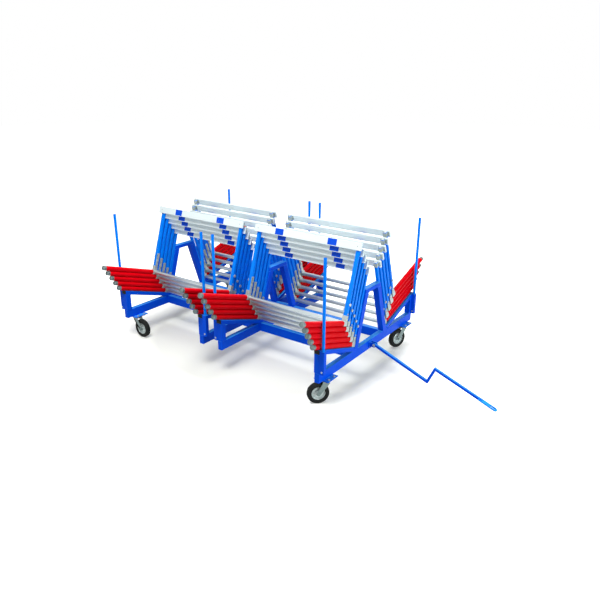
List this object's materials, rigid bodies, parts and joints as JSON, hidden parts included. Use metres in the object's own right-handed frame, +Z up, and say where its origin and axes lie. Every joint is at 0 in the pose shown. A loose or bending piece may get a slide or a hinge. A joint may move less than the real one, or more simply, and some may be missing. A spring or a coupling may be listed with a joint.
{
  "type": "hurdle cart",
  "caption": "Steel frame cart on swivel casters with a cranked drawbar and stake rods, carrying nested track hurdles that lean back to back in stacks.",
  "frame": {"origin": "middle of the cart's box, at floor level", "axes": "+X along the cart's length towards the drawbar's eye, +Z up, -Y the near side"},
  "size_m": [3.7964, 2.236, 1.361],
  "materials": {
    "blue_paint": "gloss blue powder coat",
    "zinc_steel": "zinc-plated steel",
    "caster_rubber": "black solid rubber",
    "hurdle_finish": "painted and plated steel tube with a white plastic board"
  },
  "bodies": {
    "chassis": {"caster_plate_far_left": "zinc_steel", "caster_plate_far_right": "zinc_steel", "caster_plate_near_left": "zinc_steel", "caster_plate_near_right": "zinc_steel", "cross_frame_left": "blue_paint", "cross_frame_mid_left": "blue_paint", "cross_frame_mid_right": "blue_paint", "cross_frame_right": "blue_paint", "drawbar_bracket": "blue_paint", "drawbar_pin": "zinc_steel", "rail_far_left": "blue_paint", "rail_far_middle": "blue_paint", "rail_far_right": "blue_paint", "rail_near_left": "blue_paint", "rail_near_middle": "blue_paint", "rail_near_right": "blue_paint"},
    "drawbar": {"drawbar": "blue_paint"},
    "caster_near_right": {"caster_fork_near_right": "zinc_steel"},
    "wheel_near_right": {"caster_tyre_near_right": "caster_rubber", "caster_rim_near_right": "zinc_steel"},
    "caster_near_left": {"caster_fork_near_left": "zinc_steel"},
    "wheel_near_left": {"caster_tyre_near_left": "caster_rubber", "caster_rim_near_left": "zinc_steel"},
    "caster_far_right": {"caster_fork_far_right": "zinc_steel"},
    "wheel_far_right": {"caster_tyre_far_right": "caster_rubber", "caster_rim_far_right": "zinc_steel"},
    "caster_far_left": {"caster_fork_far_left": "zinc_steel"},
    "wheel_far_left": {"caster_tyre_far_left": "caster_rubber", "caster_rim_far_left": "zinc_steel"},
    "stake_rod_near_left": {"stake_rod_near_left": "blue_paint"},
    "stake_rod_far_left": {"stake_rod_far_left": "blue_paint"},
    "stake_rod_near_mid_left": {"stake_rod_near_mid_left": "blue_paint"},
    "stake_rod_far_mid_left": {"stake_rod_far_mid_left": "blue_paint"},
    "stake_rod_near_mid_right": {"stake_rod_near_mid_right": "blue_paint"},
    "stake_rod_far_mid_right": {"stake_rod_far_mid_right": "blue_paint"},
    "stake_rod_near_right": {"stake_rod_near_right": "blue_paint"},
    "stake_rod_far_right": {"stake_rod_far_right": "blue_paint"},
    "hurdle_near_left_1": {"hurdle_near_left_1": "hurdle_finish"},
    "hurdle_near_left_2": {"hurdle_near_left_2": "hurdle_finish"},
    "hurdle_near_left_3": {"hurdle_near_left_3": "hurdle_finish"},
    "hurdle_near_left_4": {"hurdle_near_left_4": "hurdle_finish"},
    "hurdle_near_left_5": {"hurdle_near_left_5": "hurdle_finish"},
    "hurdle_near_right_1": {"hurdle_near_right_1": "hurdle_finish"},
    "hurdle_near_right_2": {"hurdle_near_right_2": "hurdle_finish"},
    "hurdle_near_right_3": {"hurdle_near_right_3": "hurdle_finish"},
    "hurdle_near_right_4": {"hurdle_near_right_4": "hurdle_finish"},
    "hurdle_near_right_5": {"hurdle_near_right_5": "hurdle_finish"},
    "hurdle_far_left_1": {"hurdle_far_left_1": "hurdle_finish"},
    "hurdle_far_left_2": {"hurdle_far_left_2": "hurdle_finish"},
    "hurdle_far_left_3": {"hurdle_far_left_3": "hurdle_finish"},
    "hurdle_far_left_4": {"hurdle_far_left_4": "hurdle_finish"},
    "hurdle_far_left_5": {"hurdle_far_left_5": "hurdle_finish"},
    "hurdle_far_right_1": {"hurdle_far_right_1": "hurdle_finish"},
    "hurdle_far_right_2": {"hurdle_far_right_2": "hurdle_finish"},
    "hurdle_far_right_3": {"hurdle_far_right_3": "hurdle_finish"},
    "hurdle_far_right_4": {"hurdle_far_right_4": "hurdle_finish"},
    "hurdle_far_right_5": {"hurdle_far_right_5": "hurdle_finish"}
  },
  "joints": [
    {"name": "drawbar_lift", "type": "hinge", "parent": "chassis", "child": "drawbar", "pos_m": [0.68985, 0, 0.2986], "axis": [0, -1, 0], "range_deg": [0, 90]},
    {"name": "caster_near_right_swivel", "type": "hinge", "parent": "chassis", "child": "caster_near_right", "pos_m": [0.61685, -0.733, 0.1], "axis": [0, 0, 1], "continuous": true},
    {"name": "wheel_near_right_roll", "type": "hinge", "parent": "caster_near_right", "child": "wheel_near_right", "pos_m": [0.56961, -0.78192, 0.1], "axis": [0.7193, -0.6947, 0], "continuous": true},
    {"name": "caster_near_left_swivel", "type": "hinge", "parent": "chassis", "child": "caster_near_left", "pos_m": [-1.82315, -0.733, 0.1], "axis": [0, 0, 1], "continuous": true},
    {"name": "wheel_near_left_roll", "type": "hinge", "parent": "caster_near_left", "child": "wheel_near_left", "pos_m": [-1.75515, -0.733, 0.1], "axis": [0, 1, 0], "continuous": true},
    {"name": "caster_far_right_swivel", "type": "hinge", "parent": "chassis", "child": "caster_far_right", "pos_m": [0.61685, 0.733, 0.1], "axis": [0, 0, 1], "continuous": true},
    {"name": "wheel_far_right_roll", "type": "hinge", "parent": "caster_far_right", "child": "wheel_far_right", "pos_m": [0.59359, 0.6691, 0.1], "axis": [0.9397, -0.342, 0], "continuous": true},
    {"name": "caster_far_left_swivel", "type": "hinge", "parent": "chassis", "child": "caster_far_left", "pos_m": [-1.82315, 0.733, 0.1], "axis": [0, 0, 1], "continuous": true},
    {"name": "wheel_far_left_roll", "type": "hinge", "parent": "caster_far_left", "child": "wheel_far_left", "pos_m": [-1.75747, 0.7506, 0.1], "axis": [-0.2588, 0.9659, 0], "continuous": true},
    {"name": "stake_rod_near_left_lift", "type": "slide", "parent": "chassis", "child": "stake_rod_near_left", "axis": [0, 0, 1], "range_m": [0, 0.17]},
    {"name": "stake_rod_far_left_lift", "type": "slide", "parent": "chassis", "child": "stake_rod_far_left", "axis": [0, 0, 1], "range_m": [0, 0.17]},
    {"name": "stake_rod_near_mid_left_lift", "type": "slide", "parent": "chassis", "child": "stake_rod_near_mid_left", "axis": [0, 0, 1], "range_m": [0, 0.17]},
    {"name": "stake_rod_far_mid_left_lift", "type": "slide", "parent": "chassis", "child": "stake_rod_far_mid_left", "axis": [0, 0, 1], "range_m": [0, 0.17]},
    {"name": "stake_rod_near_mid_right_lift", "type": "slide", "parent": "chassis", "child": "stake_rod_near_mid_right", "axis": [0, 0, 1], "range_m": [0, 0.17]},
    {"name": "stake_rod_far_mid_right_lift", "type": "slide", "parent": "chassis", "child": "stake_rod_far_mid_right", "axis": [0, 0, 1], "range_m": [0, 0.17]},
    {"name": "stake_rod_near_right_lift", "type": "slide", "parent": "chassis", "child": "stake_rod_near_right", "axis": [0, 0, 1], "range_m": [0, 0.17]},
    {"name": "stake_rod_far_right_lift", "type": "slide", "parent": "chassis", "child": "stake_rod_far_right", "axis": [0, 0, 1], "range_m": [0, 0.17]},
    {"name": "hurdle_near_left_1_lift", "type": "slide", "parent": "chassis", "child": "hurdle_near_left_1", "axis": [0, 0, 1], "range_m": [0, 0.15]},
    {"name": "hurdle_near_left_2_lift", "type": "slide", "parent": "hurdle_near_left_1", "child": "hurdle_near_left_2", "axis": [0, 0, 1], "range_m": [0, 0.15]},
    {"name": "hurdle_near_left_3_lift", "type": "slide", "parent": "hurdle_near_left_2", "child": "hurdle_near_left_3", "axis": [0, 0, 1], "range_m": [0, 0.15]},
    {"name": "hurdle_near_left_4_lift", "type": "slide", "parent": "hurdle_near_left_3", "child": "hurdle_near_left_4", "axis": [0, 0, 1], "range_m": [0, 0.15]},
    {"name": "hurdle_near_left_5_lift", "type": "slide", "parent": "hurdle_near_left_4", "child": "hurdle_near_left_5", "axis": [0, 0, 1], "range_m": [0, 0.15]},
    {"name": "hurdle_near_right_1_lift", "type": "slide", "parent": "chassis", "child": "hurdle_near_right_1", "axis": [0, 0, 1], "range_m": [0, 0.15]},
    {"name": "hurdle_near_right_2_lift", "type": "slide", "parent": "hurdle_near_right_1", "child": "hurdle_near_right_2", "axis": [0, 0, 1], "range_m": [0, 0.15]},
    {"name": "hurdle_near_right_3_lift", "type": "slide", "parent": "hurdle_near_right_2", "child": "hurdle_near_right_3", "axis": [0, 0, 1], "range_m": [0, 0.15]},
    {"name": "hurdle_near_right_4_lift", "type": "slide", "parent": "hurdle_near_right_3", "child": "hurdle_near_right_4", "axis": [0, 0, 1], "range_m": [0, 0.15]},
    {"name": "hurdle_near_right_5_lift", "type": "slide", "parent": "hurdle_near_right_4", "child": "hurdle_near_right_5", "axis": [0, 0, 1], "range_m": [0, 0.15]},
    {"name": "hurdle_far_left_1_lift", "type": "slide", "parent": "chassis", "child": "hurdle_far_left_1", "axis": [0, 0, 1], "range_m": [0, 0.15]},
    {"name": "hurdle_far_left_2_lift", "type": "slide", "parent": "hurdle_far_left_1", "child": "hurdle_far_left_2", "axis": [0, 0, 1], "range_m": [0, 0.15]},
    {"name": "hurdle_far_left_3_lift", "type": "slide", "parent": "hurdle_far_left_2", "child": "hurdle_far_left_3", "axis": [0, 0, 1], "range_m": [0, 0.15]},
    {"name": "hurdle_far_left_4_lift", "type": "slide", "parent": "hurdle_far_left_3", "child": "hurdle_far_left_4", "axis": [0, 0, 1], "range_m": [0, 0.15]},
    {"name": "hurdle_far_left_5_lift", "type": "slide", "parent": "hurdle_far_left_4", "child": "hurdle_far_left_5", "axis": [0, 0, 1], "range_m": [0, 0.15]},
    {"name": "hurdle_far_right_1_lift", "type": "slide", "parent": "chassis", "child": "hurdle_far_right_1", "axis": [0, 0, 1], "range_m": [0, 0.15]},
    {"name": "hurdle_far_right_2_lift", "type": "slide", "parent": "hurdle_far_right_1", "child": "hurdle_far_right_2", "axis": [0, 0, 1], "range_m": [0, 0.15]},
    {"name": "hurdle_far_right_3_lift", "type": "slide", "parent": "hurdle_far_right_2", "child": "hurdle_far_right_3", "axis": [0, 0, 1], "range_m": [0, 0.15]},
    {"name": "hurdle_far_right_4_lift", "type": "slide", "parent": "hurdle_far_right_3", "child": "hurdle_far_right_4", "axis": [0, 0, 1], "range_m": [0, 0.15]},
    {"name": "hurdle_far_right_5_lift", "type": "slide", "parent": "hurdle_far_right_4", "child": "hurdle_far_right_5", "axis": [0, 0, 1], "range_m": [0, 0.15]}
  ]
}
